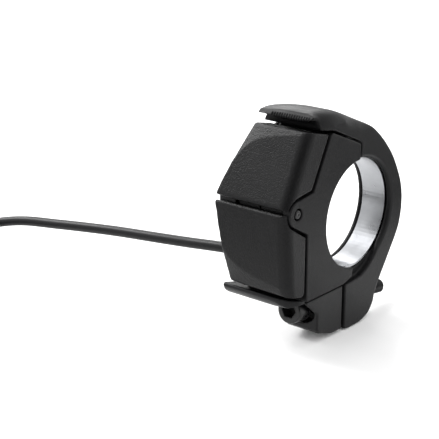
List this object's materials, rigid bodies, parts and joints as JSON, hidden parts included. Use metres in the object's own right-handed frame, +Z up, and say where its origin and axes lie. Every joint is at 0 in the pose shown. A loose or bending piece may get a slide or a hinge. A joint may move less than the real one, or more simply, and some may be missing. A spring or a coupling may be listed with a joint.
{
  "type": "thumb shifter",
  "caption": "Electronic thumb shifter for a handlebar, with wedge paddles on a shared pin, a hinged clamp ring and a thin lead.",
  "frame": {"origin": "centre of the handlebar bore, in the middle of the clamp ring's width", "axes": "+X along the handlebar towards the open side face, +Y from the paddles to the back of the clamp ring, +Z up"},
  "size_m": [0.1197, 0.0672, 0.0467],
  "materials": {
    "paddle_plastic": "fine-grained black moulding",
    "housing_plastic": "fine-grained black moulding",
    "black_alloy": "black coated alloy",
    "black_steel": "black oxide",
    "bore_steel": "bright strip",
    "zinc_steel": "zinc plated",
    "lead_rubber": "satin black jacket",
    "key_rubber": "moulded silicone",
    "plug_plastic": "satin black moulding",
    "switch_body": "moulded",
    "board_laminate": "green laminate"
  },
  "bodies": {
    "housing": {"paddle_pivot_pin": "black_steel", "side_cover": "housing_plastic", "far_cover": "housing_plastic", "housing_body": "housing_plastic", "guard_lip": "housing_plastic", "clamp_base": "black_alloy", "base_liner": "bore_steel", "clamp_hinge_pin": "zinc_steel", "case_screw_upper": "zinc_steel", "case_screw_lower": "zinc_steel", "lead_gland": "lead_rubber", "lead": "lead_rubber", "lead_coil": "lead_rubber", "lead_plug": "plug_plastic", "coil_tie": "plug_plastic", "lower_switch_plate": "plug_plastic", "lower_switch": "switch_body", "lower_board": "board_laminate", "lower_plate_screw_far": "zinc_steel", "lower_plate_screw_near": "zinc_steel", "upper_switch_plate": "plug_plastic", "upper_switch": "switch_body", "upper_board": "board_laminate", "upper_plate_screw_far": "zinc_steel", "upper_plate_screw_near": "zinc_steel"},
    "ring": {"clamp_ring": "housing_plastic", "ring_liner": "bore_steel", "clamp_nut": "zinc_steel"},
    "upper_paddle": {"upper_paddle": "paddle_plastic"},
    "lower_paddle": {"lower_paddle": "paddle_plastic"},
    "upper_key": {"upper_key_cap": "key_rubber"},
    "lower_key": {"lower_key_cap": "key_rubber"},
    "washer": {"bolt_washer": "black_steel"},
    "bolt": {"clamp_bolt": "black_steel"}
  },
  "joints": [
    {"name": "upper_paddle_press", "type": "hinge", "parent": "housing", "child": "upper_paddle", "pos_m": [0, -0.0205, 0.00496], "axis": [-1, 0, 0], "range_deg": [0, 1.8], "stiffness_Nm_per_rad": 1.1},
    {"name": "lower_paddle_press", "type": "hinge", "parent": "housing", "child": "lower_paddle", "pos_m": [0, -0.0205, 0.00496], "axis": [1, 0, 0], "range_deg": [0, 1.8], "stiffness_Nm_per_rad": 1.1},
    {"name": "upper_key_travel", "type": "slide", "parent": "housing", "child": "upper_key", "axis": [0, 0.8797, -0.4756], "range_m": [0, 0.00034]},
    {"name": "lower_key_travel", "type": "slide", "parent": "housing", "child": "lower_key", "axis": [0, 1, 0], "range_m": [0, 0.00034]},
    {"name": "clamp_hinge", "type": "hinge", "parent": "housing", "child": "ring", "pos_m": [0, -0.0036, 0.0153], "axis": [1, 0, 0], "range_deg": [-0.7, 1.5]},
    {"name": "bolt_advance", "type": "slide", "parent": "housing", "child": "washer", "axis": [0, 0.9903, -0.1392], "range_m": [0, 0.004]},
    {"name": "bolt_turn", "type": "hinge", "parent": "washer", "child": "bolt", "pos_m": [-0.0002, -0.0174, -0.0164], "axis": [0, 0.9903, -0.1392], "range_deg": [0, 2880]}
  ],
  "couplings": [
    {"joint": "upper_key_travel", "follows": "upper_paddle_press", "m_per_rad": 0.01068},
    {"joint": "lower_key_travel", "follows": "lower_paddle_press", "m_per_rad": 0.01066},
    {"joint": "bolt_turn", "follows": "bolt_advance", "rad_per_m": 12566}
  ]
}
